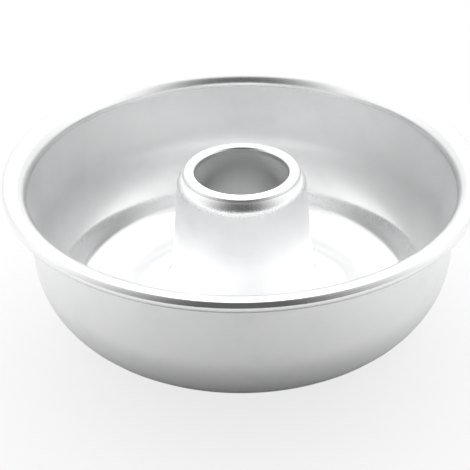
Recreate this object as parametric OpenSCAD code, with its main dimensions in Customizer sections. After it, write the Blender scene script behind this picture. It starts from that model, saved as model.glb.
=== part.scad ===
// Tube cake pan, pressed and spun from one disc of aluminium sheet.
// The whole pan is one sheet section turned about the Z axis. The section runs from the
// lip in the bore, over the bead, down the tube, across the trough, up the wall and over
// the rim into its curl. The base rests on Z = 0 and the axis is X = Y = 0.

/* [Pan] */
// Diameter over the rolled rim
pan_d = 230; // [200:1:280]
// Height from the base to the top of the rim
pan_h = 77; // [60:1:95]
// Thickness of the sheet
sheet_t = 1; // [0.6:0.1:1.2]

/* [Wall and trough] */
// Lean of the wall from upright, so that the cake slips out
wall_draft = 4; // [1:0.5:10]
// Radius of the bend from the floor to the wall, on the food side
corner_r = 38; // [20:0.5:46]
// Width of the flat ring that the pan stands on, between the two floor bends
flat_w = 3.5; // [1:0.5:12]

/* [Rim] */
// Radius of the flare from the wall to the top of the rim, on the food side
flare_r = 8.8; // [7:0.1:11]
// Radius of the curl, on its outside
curl_r = 3.3; // [2.4:0.1:4]
// Turn of the curl, from the top of the rim round to its cut edge
curl_turn = 245; // [180:5:290]

/* [Tube] */
// Height from the base to the top of the bead round the bore
tube_h = 76.2; // [60:0.5:95]
// Lean of the tube from upright
tube_draft = 4.7; // [1:0.1:8]
// Radius of the tube's rounded shoulder, on the food side
shoulder_r = 10.5; // [4:0.5:12]
// Way that the shoulder faces where it leaves the crease, in degrees from level
shoulder_start = 43; // [35:1:60]

/* [Lip of the tube] */
// Clear diameter of the bore through the lip
bore_d = 44.8; // [38:0.2:54]
// Radius of the bead's bend into the bore, on its outside
bead_in_r = 2; // [1.3:0.1:3]
// Width of the bead's top, which slopes a little outward
bead_top_w = 2.2; // [0.2:0.1:4]
// Slope of the bead's top
bead_slope = 8; // [1:1:15]
// Radius of the bead's outer edge
bead_out_r = 1.7; // [1.3:0.1:3]
// Way that the bead faces where it meets the crease, in degrees from level
bead_end = 15; // [5:1:34]
// Radius of the crease between the bead and the shoulder
crease_r = 0.8; // [0.1:0.1:1.4]
// Length of the straight lip that hangs down inside the bore
lip_len = 1.6; // [1:0.1:6]

/* [Hidden] */

// How far a drawn bend may stray from a true arc
bend_error = 0.012;
$fn = 180;

bore_r = bore_d / 2;

// Centres of the bends, as [radius, height], in the order of the section. Each bend touches
// the one before it.
bead_in_c = [bore_r + bead_in_r, tube_h - bead_in_r];
bead_out_c = bead_in_c + (bead_in_r - bead_out_r) * toward(90 - bead_slope)
    + bead_top_w * toward(-bead_slope);
crease_c = bead_out_c + (bead_out_r + crease_r) * toward(bead_end);
shoulder_c = crease_c - (crease_r + shoulder_r) * toward(shoulder_start);
curl_c = [pan_d / 2 - curl_r, pan_h - curl_r];
flare_c = [curl_c[0], pan_h - flare_r];

// The floor's two bends. The outer one has its own radius. The tube's foot sweeps from the
// leaning tube to the flat ring in one bend, whose radius follows from the two.
corner_c = [
    flare_c[0] - ((flare_c[1] - sheet_t - corner_r) * sin(wall_draft) + flare_r + corner_r)
        / cos(wall_draft),
    sheet_t + corner_r
];
foot_x = corner_c[0] - flat_w;
foot_r = ((foot_x - shoulder_c[0]) * cos(tube_draft)
    - (shoulder_c[1] - sheet_t) * sin(tube_draft) - shoulder_r) / (1 - sin(tube_draft));
foot_c = [foot_x, sheet_t + foot_r];

// The unit step in the direction of an angle
function toward(angle) = [cos(angle), sin(angle)];

// Number of chords that keep a bend within bend_error of its arc
function chords(r, turn) = ceil(turn / (2 * acos(1 - bend_error / r)));

// Points along a bend, from angle a to angle b
function bend(c, r, a, b) =
    let (n = chords(r, abs(b - a)))
    [for (i = [0 : n]) c + r * toward(a + (b - a) * i / n)];

// One face of the sheet. hollow is what the face adds to the radius of a bend whose centre
// lies on the food side, and it takes the same off a bend whose centre lies underneath.
function face(hollow) = concat(
    [[bore_r + hollow, bead_in_c[1] - lip_len]],
    bend(bead_in_c, bead_in_r - hollow, 180, 90 - bead_slope),
    bend(bead_out_c, bead_out_r - hollow, 90 - bead_slope, bead_end),
    bend(crease_c, crease_r + hollow, 180 + bead_end, 180 + shoulder_start),
    bend(shoulder_c, shoulder_r - hollow, shoulder_start, tube_draft),
    bend(foot_c, foot_r + hollow, 180 + tube_draft, 270),
    bend(corner_c, corner_r + hollow, 270, 360 - wall_draft),
    bend(flare_c, flare_r - hollow, 180 - wall_draft, 90),
    bend(curl_c, curl_r - hollow, 90, 90 - curl_turn)
);

function reversed(points) = [for (i = [len(points) - 1 : -1 : 0]) points[i]];

// The sheet's section, food side first and underside back
module sheet_section() {
    polygon(concat(face(0), reversed(face(sheet_t))));
}

module pan() {
    color([0.91, 0.915, 0.92])
        rotate_extrude()
            sheet_section();
}

pan();
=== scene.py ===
import math

import bpy
from mathutils import Matrix, Vector


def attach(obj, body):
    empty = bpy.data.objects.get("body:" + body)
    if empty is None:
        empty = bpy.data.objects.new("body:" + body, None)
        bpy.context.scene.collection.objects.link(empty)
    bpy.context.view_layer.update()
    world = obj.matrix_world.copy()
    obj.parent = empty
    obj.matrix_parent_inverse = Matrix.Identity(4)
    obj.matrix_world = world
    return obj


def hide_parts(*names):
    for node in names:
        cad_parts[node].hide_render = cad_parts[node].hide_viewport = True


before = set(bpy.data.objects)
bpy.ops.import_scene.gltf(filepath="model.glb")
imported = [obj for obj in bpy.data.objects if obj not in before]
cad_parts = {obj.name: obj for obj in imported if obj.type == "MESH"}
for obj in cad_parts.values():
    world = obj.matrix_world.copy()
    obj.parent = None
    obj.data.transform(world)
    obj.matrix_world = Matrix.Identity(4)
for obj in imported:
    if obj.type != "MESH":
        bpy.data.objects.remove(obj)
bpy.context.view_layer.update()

mm = 0.001


def report(words):
    print("tube pan:", words)


def addObject(name, mesh):
    thing = bpy.data.objects.new(name, mesh)
    bpy.context.scene.collection.objects.link(thing)
    return thing


# The pan's sheet, in the sizes of the solid pan

panSizes = {
    "overRim": 230 * mm,         # diameter over the rolled rim
    "rimHeight": 77 * mm,
    "sheet": 1 * mm,
    "wallLean": 4,               # degrees from upright
    "cornerBend": 38 * mm,       # floor to wall, on the food side
    "flareBend": 8.8 * mm,
    "curlBend": 3.3 * mm,
    "curlTurn": 245,
    "flatRing": 3.5 * mm,        # width of the flat ring between the floor's two bends
    "tubeHeight": 76.2 * mm,
    "tubeLean": 4.7,
    "shoulderBend": 10.5 * mm,
    "shoulderStart": 43,         # degrees from level, the way the shoulder faces at the crease
    "bore": 44.8 * mm,
    "beadInner": 2 * mm,         # bend of the bead into the bore
    "beadTop": 2.2 * mm,         # width of its top, which slopes a little outward
    "beadSlope": 8,
    "beadOuter": 1.7 * mm,
    "beadEnd": 15,               # degrees from level, the way the bead faces at the crease
    "creaseBend": 0.8 * mm,
    "lipLength": 1.6 * mm,
    "edgeBreak": 0.2 * mm,       # rounding of the two cut edges
    "shoulderPolish": 0.6,       # how far each is burnished; the rim and the lip are 1
    "flarePolish": 0.8,
    "beadShadeShare": 0.3,             # share of painted shade in the bead's outer bend
    # share of painted shade in the crease
    "creaseShadeShare": 0.8,
    "segments": 320,             # steps round the pan
    "bendStep": 6.5,             # degrees from point to point along a bend
    "brightFade": 1.5 * mm,      # how fast the bright edge gives way to the satin sheet
}


def angled(degrees):
    return Vector((math.cos(math.radians(degrees)), math.sin(math.radians(degrees))))


def sheetBends():
    # each bend is its centre, radius on the food side, first and last angle, side, polish and
    # share of painted shade; side is 1 where the centre lies under the sheet and -1 where it lies
    # on the food side
    p = panSizes
    boreRadius = p["bore"] / 2
    curlRadius = p["overRim"] / 2 - p["curlBend"]
    beadIn = Vector((boreRadius + p["beadInner"], p["tubeHeight"] - p["beadInner"]))
    beadOut = (beadIn + (p["beadInner"] - p["beadOuter"]) * angled(90 - p["beadSlope"])
               + p["beadTop"] * angled(-p["beadSlope"]))
    crease = beadOut + (p["beadOuter"] + p["creaseBend"]) * angled(p["beadEnd"])
    shoulder = crease - (p["creaseBend"] + p["shoulderBend"]) * angled(p["shoulderStart"])
    flare = Vector((curlRadius, p["rimHeight"] - p["flareBend"]))
    curl = Vector((curlRadius, p["rimHeight"] - p["curlBend"]))

    lean = math.radians(p["wallLean"])
    drop = flare.y - p["sheet"] - p["cornerBend"]
    corner = Vector((flare.x - (drop * math.sin(lean) + p["flareBend"] + p["cornerBend"])
                     / math.cos(lean), p["sheet"] + p["cornerBend"]))
    lean = math.radians(p["tubeLean"])
    footBend = ((corner.x - p["flatRing"] - shoulder.x) * math.cos(lean)
                - (shoulder.y - p["sheet"]) * math.sin(lean)
                - p["shoulderBend"]) / (1 - math.sin(lean))
    foot = Vector((corner.x - p["flatRing"], p["sheet"] + footBend))
    return [
        (beadIn, p["beadInner"], 180, 90 - p["beadSlope"], 1, 1, 0),
        (beadOut, p["beadOuter"], 90 - p["beadSlope"], p["beadEnd"], 1, 1, p["beadShadeShare"]),
        (crease, p["creaseBend"], 180 + p["beadEnd"], 180 + p["shoulderStart"], -1,
         1, p["creaseShadeShare"]),
        (shoulder, p["shoulderBend"], p["shoulderStart"], p["tubeLean"], 1,
         p["shoulderPolish"], 0),
        (foot, footBend, 180 + p["tubeLean"], 270, -1, 0, 0),
        (corner, p["cornerBend"], 270, 360 - p["wallLean"], -1, 0, 0),
        (flare, p["flareBend"], 180 - p["wallLean"], 90, 1, p["flarePolish"], 0),
        (curl, p["curlBend"], 90, 90 - p["curlTurn"], 1, 1, 0),
    ]


def bendPoints(bend, depth, backOff=0):
    # points of a bend, depth into the sheet, each with the way it faces, its polish and its
    # share of painted shade; backOff stops it short of its end
    centre, radius, first, last, side, polish, creaseShade = bend
    reach = radius - side * depth
    last -= math.copysign(math.degrees(backOff / reach), last - first)
    steps = max(5, math.ceil(abs(last - first) / panSizes["bendStep"]))
    facing = side if depth == 0 else -side
    points = []
    for i in range(steps + 1):
        out = angled(first + (last - first) * i / steps)
        points.append((centre + reach * out, facing * out, polish, creaseShade))
    return points


def straightPoints(start, end):
    # the straight run between two bends, with points close to each end for the polish
    place, facing, startPolish, _ = start
    endPlace, _, endPolish, _ = end
    run = endPlace - place
    fadeRun = panSizes["brightFade"]
    if run.length < 4 * fadeRun:
        return []
    near, far = [], []
    for k, share in ((1, 0.75), (2, 0.25), (3, 0)):
        step = run * (k * fadeRun / 3 / run.length)
        near.append((place + step, facing, startPolish * share, 0))
        far.append((endPlace - step, facing, endPolish * share, 0))
    middle = [(place.lerp(endPlace, k / 8), facing, 0, 0) for k in range(2, 7)]
    return near + middle + far[::-1]


def sheetFace(depth):
    bends = sheetBends()
    edge = panSizes["edgeBreak"]
    lipEnd = bends[0][0].y - panSizes["lipLength"] + edge
    inward = Vector((-1 if depth == 0 else 1, 0))
    face = [(Vector((panSizes["bore"] / 2 + depth, lipEnd)), inward, 1, 0)]
    for bend in bends:
        points = bendPoints(bend, depth, edge if bend is bends[-1] else 0)
        if (points[0][0] - face[-1][0]).length < 1e-7:
            face[-1] = points.pop(0)
        else:
            face += straightPoints(face[-1], points[0])
        face += points
    return face


def cutEdge(corner, along, across, depth):
    # the sheared end of the sheet with both corners broken; along points off the sheet's end
    # and across from the corner to the other face
    edge = panSizes["edgeBreak"]
    points = []
    for centre, start, end, steps in (
            (corner + edge * (across - along), -across, along, (1, 2, 3, 4)),
            (corner + (depth - edge) * across - edge * along, along, across, (1, 2, 3))):
        for k in steps:
            turn = math.radians(22.5 * k)
            out = math.cos(turn) * start + math.sin(turn) * end
            points.append((centre + edge * out, out, 1, 0))
    return points


def closedSection():
    p = panSizes
    food, under = sheetFace(0), sheetFace(p["sheet"])
    centre, radius, _, last = sheetBends()[-1][:4]
    out = angled(last)
    curlEnd = cutEdge(centre + radius * out, Vector((out.y, -out.x)), -out, p["sheet"])
    lipEnd = cutEdge(Vector((p["bore"] / 2, sheetBends()[0][0].y - p["lipLength"])),
                     Vector((0, -1)), Vector((1, 0)), p["sheet"])
    return food + curlEnd + under[::-1] + lipEnd[::-1]


def sectionRuns(section):
    # how far along the section each of its points lies
    runs = [0]
    for before, after in zip(section, section[1:]):
        runs.append(runs[-1] + (after[0] - before[0]).length)
    return runs


def alongAt(radius):
    # how far along the section the food side first reaches a radius
    section = closedSection()
    runs = sectionRuns(section)
    after = next(k for k, point in enumerate(section) if point[0].x > radius)
    before = after - 1
    share = (radius - section[before][0].x) / (section[after][0].x - section[before][0].x)
    return runs[before] + share * (runs[after] - runs[before])


def makePan():
    section = closedSection()
    runs = sectionRuns(section)
    segments = panSizes["segments"]
    places, facings, polishes, creaseShades, alongs = [], [], [], [], []
    for k in range(segments):
        turn = 2 * math.pi * k / segments
        c, s = math.cos(turn), math.sin(turn)
        for (place, facing, polish, creaseShade), run in zip(section, runs):
            places.append((place.x * c, place.x * s, place.y))
            facings.append((facing.x * c, facing.x * s, facing.y))
            polishes.append(polish)
            creaseShades.append(creaseShade)
            alongs.append(run)
    count = len(section)
    faces = []
    for k in range(segments):
        here, there = k * count, (k + 1) % segments * count
        for i in range(count):
            j = (i + 1) % count
            faces.append((here + i, here + j, there + j, there + i))
    mesh = bpy.data.meshes.new("panSheet")
    mesh.from_pydata(places, [], faces)
    mesh.update()
    mesh.shade_smooth()
    for name, values in (("polish", polishes), ("creaseShade", creaseShades), ("along", alongs)):
        mesh.attributes.new(name, "FLOAT", "POINT").data.foreach_set("value", values)
    mesh.normals_split_custom_set_from_vertices(facings)
    report(f"sheet turned, {count} points by {segments} steps")
    return addObject("panSheet", mesh)


# Small helpers for node trees

def emptyTree(owner):
    owner.use_nodes = True
    owner.node_tree.nodes.clear()
    return owner.node_tree


def plugIn(tree, socket, value):
    if isinstance(value, bpy.types.NodeSocket):
        tree.links.new(value, socket)
    else:
        socket.default_value = value


def addNode(tree, kind, inputs=None, **settings):
    node = tree.nodes.new(kind)
    for name, value in settings.items():
        setattr(node, name, value)
    for name, value in (inputs or {}).items():
        plugIn(tree, node.inputs[name], value)
    return node


def calc(tree, operation, a, b=0.0):
    return addNode(tree, "ShaderNodeMath", {0: a, 1: b}, operation=operation).outputs[0]


def fade(tree, value, low, high, toLow=0.0, toHigh=1.0):
    return addNode(tree, "ShaderNodeMapRange",
                   {"Value": value, "From Min": low, "From Max": high,
                    "To Min": toLow, "To Max": toHigh},
                   interpolation_type="SMOOTHSTEP").outputs["Result"]


def mix(tree, share, a, b):
    return calc(tree, "ADD", a, calc(tree, "MULTIPLY", share, calc(tree, "SUBTRACT", b, a)))


def blend(tree, share, a, b):
    # the colour form of mix; sockets 6 and 7 are the mix node's colours, and output 2
    node = addNode(tree, "ShaderNodeMix", data_type="RGBA")
    for place, value in ((0, share), (6, a), (7, b)):
        plugIn(tree, node.inputs[place], value)
    return node.outputs[2]


def bump(tree, height, strength, distance, under=None):
    inputs = {"Height": height, "Strength": strength, "Distance": distance}
    if under:
        inputs["Normal"] = under
    return addNode(tree, "ShaderNodeBump", inputs).outputs["Normal"]


# The satin spun aluminium

sheetFinish = {
    "colour": (0.915, 0.918, 0.92, 1),
    "dull": (0.83, 0.836, 0.845, 1),   # handled patches
    "dullShare": 0.5,                  # how much of it the strongest patch has
    "creaseShade": (0.5, 0.5, 0.5, 1),        # painted shade: the darker colour in the crease and the bead's outer bend
    "creaseShadeRough": 0.2,                  # what the same mask adds to the roughness
    "satin": 0.42,                     # roughness of the wall and the tube
    "trough": 0.23,                    # roughness of the trough, which the tool has pressed smooth
    "troughFrom": (8 * mm, 25 * mm),   # heights between which the one gives way to the other
    "inTube": 0.2,                     # roughness inside the tube
    "inTubeFrom": (110 * mm, 80 * mm),  # where that starts and is full, back from the lip's end
    "bright": 0.18,                    # roughness of the rolled rim and the lip
    "burnish": 0.85,                   # how much of the satin's marks the burnishing takes off
    "uneven": 0.035,                   # how far the roughness wanders in patches
    "unevenGrain": 0.02,               # and from grain to grain
    "ringRadius": 87.9 * mm,           # a soft ring runs round the trough here
    "ringWidth": 13 * mm,
    "ringRise": 4.6 * mm,
    "openRadius": 103 * mm,            # below here the wall seems to open a little more
    "openPast": 3 * mm,                # how far past that radius it ends, along the sheet
    "openRun": 37 * mm,
    "openRise": 4 * mm,
    "turningPitch": 0.45 * mm,         # spacing of the spinning marks
    "turningStretch": 0.5,             # the lower, the longer the marks run round the pan
    "turningDepth": 0.0016 * mm,
    "grainSize": 0.9 * mm,
    "grainDepth": 0.0018 * mm,
    "patchScale": 32.0,
    "scratchPitch": 0.25 * mm,
    "scratchStretch": 14.0,
    "scratchRough": 0.12,              # what a fine scratch adds to the roughness
    "scratchShare": 0.69,              # the nearer to 1, the fewer scratches
    "scratchScale": 60.0,              # size of the areas that have scratches
}


def ringVector(tree, along, around, pitch, stretch):
    # texture place for marks that run round the pan, pitch apart across the sheet
    steps = calc(tree, "DIVIDE", along, pitch)
    wander = [calc(tree, "MULTIPLY", around[axis], stretch) for axis in ("X", "Y")]
    return addNode(tree, "ShaderNodeCombineXYZ", {0: steps, 1: wander[0], 2: wander[1]}).outputs[0]


def noise(tree, vector, scale, detail, roughness=0.5, distortion=0.0):
    return addNode(tree, "ShaderNodeTexNoise",
                   {"Vector": vector, "Scale": scale, "Detail": detail, "Roughness": roughness,
                    "Distortion": distortion}).outputs["Fac"]


def aluminium():
    look = sheetFinish
    material = bpy.data.materials.new("spunAluminium")
    tree = emptyTree(material)
    spot = addNode(tree, "ShaderNodeTexCoord").outputs["Object"]
    height = addNode(tree, "ShaderNodeSeparateXYZ", {0: spot}).outputs["Z"]
    polish, along, creaseShade = (addNode(tree, "ShaderNodeAttribute", attribute_name=name).outputs["Fac"]
                           for name in ("polish", "along", "creaseShade"))
    level = addNode(tree, "ShaderNodeVectorMath", {0: spot, 1: (1, 1, 0)}, operation="MULTIPLY")
    around = addNode(tree, "ShaderNodeVectorMath", {0: level.outputs[0]}, operation="NORMALIZE")
    around = addNode(tree, "ShaderNodeSeparateXYZ", {0: around.outputs[0]}).outputs

    # turning marks, satin grain, handled patches and fine scratches
    turning = noise(tree, ringVector(tree, along, around, look["turningPitch"],
                                     look["turningStretch"]), 1.0, 2.0)
    grain = noise(tree, spot, 1 / look["grainSize"], 4.0, 0.65)
    patches = noise(tree, spot, look["patchScale"], 5.0, 0.6, 0.6)
    sparse = noise(tree, spot, look["scratchScale"], 1.0)
    streaks = noise(tree, ringVector(tree, along, around, look["scratchPitch"],
                                     look["scratchStretch"]), 1.0, 1.0, 0.4)
    scratches = calc(tree, "MULTIPLY",
                     fade(tree, streaks, look["scratchShare"], look["scratchShare"] + 0.06),
                     fade(tree, sparse, 0.5, 0.62))

    # the rolled rim and the lip are burnished and lose most of the satin
    satinShare = calc(tree, "SUBTRACT", 1.0, calc(tree, "MULTIPLY", polish, look["burnish"]))
    rough = fade(tree, height, *look["troughFrom"], look["trough"], look["satin"])
    lipEnd = sectionRuns(closedSection())[-1]
    inTube = fade(tree, along, *(lipEnd - back for back in look["inTubeFrom"]))
    rough = mix(tree, inTube, rough, look["inTube"])
    rough = mix(tree, polish, rough, look["bright"])
    wander = calc(tree, "ADD",
                  fade(tree, patches, 0.3, 0.7, -look["uneven"], look["uneven"]),
                  fade(tree, grain, 0.3, 0.7, -look["unevenGrain"], look["unevenGrain"]))
    for amount, share in ((wander, satinShare), (scratches, look["scratchRough"]),
                          (creaseShade, look["creaseShadeRough"])):
        rough = calc(tree, "ADD", rough, calc(tree, "MULTIPLY", amount, share))

    handled = calc(tree, "MULTIPLY", fade(tree, patches, 0.48, 0.75, 0.0, look["dullShare"]),
                   satinShare)
    colour = blend(tree, handled, look["colour"], look["dull"])
    # painted shade: the crease and the bead's outer bend are darkened in the colour
    colour = blend(tree, creaseShade, colour, look["creaseShade"])

    marks = bump(tree, turning, calc(tree, "MULTIPLY", satinShare, 0.6), look["turningDepth"])
    marks = bump(tree, grain, calc(tree, "MULTIPLY", satinShare, 0.7), look["grainDepth"], marks)

    # the trough's ring and the wall's opening are soft turns of the surface
    middle, half = alongAt(look["ringRadius"]), look["ringWidth"] / 2
    ring = fade(tree, along, middle - half, middle + half)
    marks = bump(tree, ring, 1.0, look["ringRise"], marks)
    top = alongAt(look["openRadius"]) + look["openPast"]
    opening = fade(tree, along, top - look["openRun"], top, 1.0, 0.0)
    marks = bump(tree, opening, 1.0, look["openRise"], marks)
    shader = addNode(tree, "ShaderNodeBsdfPrincipled",
                     {"Base Color": colour, "Metallic": 1.0, "Roughness": rough,
                      "Normal": marks})
    addNode(tree, "ShaderNodeOutputMaterial", {"Surface": shader.outputs["BSDF"]})
    return material


# The white table, the light tent and the camera

studio = {
    "table": 0.8,                   # shade of the table
    "tableHalf": 3.0,               # half its width, in metres
    "whiteFrom": 100 * mm,          # near the pan the table keeps its shade, and from here
    "whiteTo": 360 * mm,            # to here it gives way to plain white, by these shares
    "whiteToEye": (0.78, 0.97),
    "whiteInMetal": (0.0, 0.9),     # the same in reflections
    "glowUnderTube": 0.18,              # painted light: share of plain white that the table below the bore shows in reflections
    "glowUnderTubeReach": (25 * mm, 55 * mm),
    "tent": 1.12,                   # brightness on the camera's side and overhead
    "tentBehind": 0.96,             # and behind the pan
    "tentTurn": (0.0, 0.7),         # how far behind the one gives way to the other
    "lamp": 1.1,                    # what the soft lamp above adds to the tent
    "lampSide": (0, 0.5, 0.866),    # where it hangs, a little behind the pan
    "lampEdge": (50, 30),           # degrees from its middle, where its light starts and is full
    "screen": 0.12,                 # brightness of the half round screen on the camera's side
    "screenFoot": 360 * mm,         # its radius on the table
    "screenLift": 1 * mm,           # its gap to the table
    "screenTop": 170 * mm,          # its radius at its full height, where it leans in
    "screenHeight": 390 * mm,
    "screenSoft": 70 * mm,          # its upper edge fades over this
    "screenTurn": (12, 85),         # degrees to each side, where it starts and ends to fade
}


def tableWhite():
    material = bpy.data.materials.new("tableWhite")
    tree = emptyTree(material)
    spot = addNode(tree, "ShaderNodeTexCoord").outputs["Object"]
    away = addNode(tree, "ShaderNodeVectorMath", {0: spot}, operation="LENGTH").outputs["Value"]
    rays = addNode(tree, "ShaderNodeLightPath").outputs
    mirrored = calc(tree, "MAXIMUM", rays["Is Glossy Ray"], rays["Is Transmission Ray"])
    toEye = fade(tree, away, studio["whiteFrom"], studio["whiteTo"], *studio["whiteToEye"])
    inMetal = fade(tree, away, studio["whiteFrom"], studio["whiteTo"], *studio["whiteInMetal"])
    # painted light: a faint pool of white on the table below the bore, seen only in reflections
    glowBelow = fade(tree, away, *studio["glowUnderTubeReach"], studio["glowUnderTube"], 0.0)
    inMetal = calc(tree, "MAXIMUM", inMetal, glowBelow)
    share = calc(tree, "ADD", calc(tree, "MULTIPLY", rays["Is Camera Ray"], toEye),
                 calc(tree, "MULTIPLY", mirrored, inMetal))
    lit = addNode(tree, "ShaderNodeBsdfDiffuse",
                  {"Color": (studio["table"],) * 3 + (1,)}).outputs[0]
    white = addNode(tree, "ShaderNodeEmission", {"Strength": 1.0}).outputs[0]
    both = addNode(tree, "ShaderNodeMixShader", {0: share, 1: lit, 2: white}).outputs[0]

    # from below the table is clear, so that the pan's underside can be looked at
    clear = addNode(tree, "ShaderNodeBsdfTransparent").outputs[0]
    fromBelow = addNode(tree, "ShaderNodeNewGeometry").outputs["Backfacing"]
    both = addNode(tree, "ShaderNodeMixShader", {0: fromBelow, 1: both, 2: clear}).outputs[0]
    addNode(tree, "ShaderNodeOutputMaterial", {"Surface": both})
    return material


def makeTable():
    half = studio["tableHalf"]
    mesh = bpy.data.meshes.new("table")
    mesh.from_pydata([(-half, -half, 0), (half, -half, 0), (half, half, 0), (-half, half, 0)],
                     [], [(0, 1, 2, 3)])
    mesh.materials.append(tableWhite())
    addObject("table", mesh)


def screenDark():
    height = studio["screenHeight"]
    material = bpy.data.materials.new("screenDark")
    tree = emptyTree(material)
    spot = addNode(tree, "ShaderNodeTexCoord").outputs["Object"]
    parts = addNode(tree, "ShaderNodeSeparateXYZ", {0: spot}).outputs
    turn = calc(tree, "ABSOLUTE", calc(tree, "ARCTAN2", parts["X"],
                                       calc(tree, "MULTIPLY", parts["Y"], -1.0)))
    first, last = (math.radians(k) for k in studio["screenTurn"])
    clear = calc(tree, "MAXIMUM", fade(tree, turn, first, last),
                 fade(tree, parts["Z"], height - studio["screenSoft"], height))
    dark = addNode(tree, "ShaderNodeEmission", {"Strength": studio["screen"]}).outputs[0]
    through = addNode(tree, "ShaderNodeBsdfTransparent").outputs[0]
    both = addNode(tree, "ShaderNodeMixShader", {0: clear, 1: dark, 2: through}).outputs[0]
    addNode(tree, "ShaderNodeOutputMaterial", {"Surface": both})
    return material


def makeScreen():
    # the camera's side of the tent, which the bright rims mirror as dark bands
    edges = ((studio["screenFoot"], studio["screenLift"]),
             (studio["screenTop"], studio["screenHeight"]))
    turns = [math.radians(k) for k in range(-90, 91, 5)]
    places = [(radius * math.sin(turn), -radius * math.cos(turn), z)
              for turn in turns for radius, z in edges]
    mesh = bpy.data.meshes.new("screen")
    mesh.from_pydata(places, [], [(2 * k, 2 * k + 2, 2 * k + 3, 2 * k + 1)
                                  for k in range(len(turns) - 1)])
    mesh.materials.append(screenDark())
    screen = addObject("screen", mesh)
    screen.visible_camera = False


def makeTent():
    world = bpy.data.worlds.new("tent")
    bpy.context.scene.world = world
    tree = emptyTree(world)
    way = addNode(tree, "ShaderNodeTexCoord").outputs["Generated"]
    behind = addNode(tree, "ShaderNodeSeparateXYZ", {0: way}).outputs["Y"]
    tent = fade(tree, behind, *studio["tentTurn"], studio["tent"], studio["tentBehind"])
    lined = addNode(tree, "ShaderNodeVectorMath", {0: way, 1: studio["lampSide"]},
                    operation="DOT_PRODUCT").outputs["Value"]
    start, full = (math.cos(math.radians(k)) for k in studio["lampEdge"])
    level = calc(tree, "ADD", tent, fade(tree, lined, start, full, 0.0, studio["lamp"]))

    # the eye itself sees plain white
    rays = addNode(tree, "ShaderNodeLightPath").outputs
    level = mix(tree, rays["Is Camera Ray"], level, 1.0)
    background = addNode(tree, "ShaderNodeBackground", {"Color": (1, 1, 1, 1), "Strength": level})
    addNode(tree, "ShaderNodeOutputWorld", {"Surface": background.outputs[0]})


cameraSetting = {
    "place": (0, -695.3 * mm, 472.6 * mm),
    "lookAt": (-3.6 * mm, 0, 39.2 * mm),
    "roll": -0.82,      # degrees
    "lens": 128.04,     # for the sensor below
    "sensor": 36,
}


def makeCamera():
    lens = bpy.data.cameras.new("camera")
    lens.lens = cameraSetting["lens"]
    lens.sensor_width = cameraSetting["sensor"]
    lens.clip_start = 0.01
    lens.clip_end = 20
    camera = addObject("camera", lens)
    place, aim = Vector(cameraSetting["place"]), Vector(cameraSetting["lookAt"])
    turned = (aim - place).to_track_quat("-Z", "Y").to_matrix().to_4x4()
    roll = Matrix.Rotation(math.radians(cameraSetting["roll"]), 4, "Z")
    camera.matrix_world = Matrix.Translation(place) @ turned @ roll
    bpy.context.scene.camera = camera


pan = makePan()
pan.data.materials.append(aluminium())
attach(pan, "root")
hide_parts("pan")
report("aluminium on the sheet")
makeTable()
makeScreen()
makeTent()
makeCamera()
bpy.context.scene.view_settings.view_transform = "Standard"
report("table, tent and camera set")
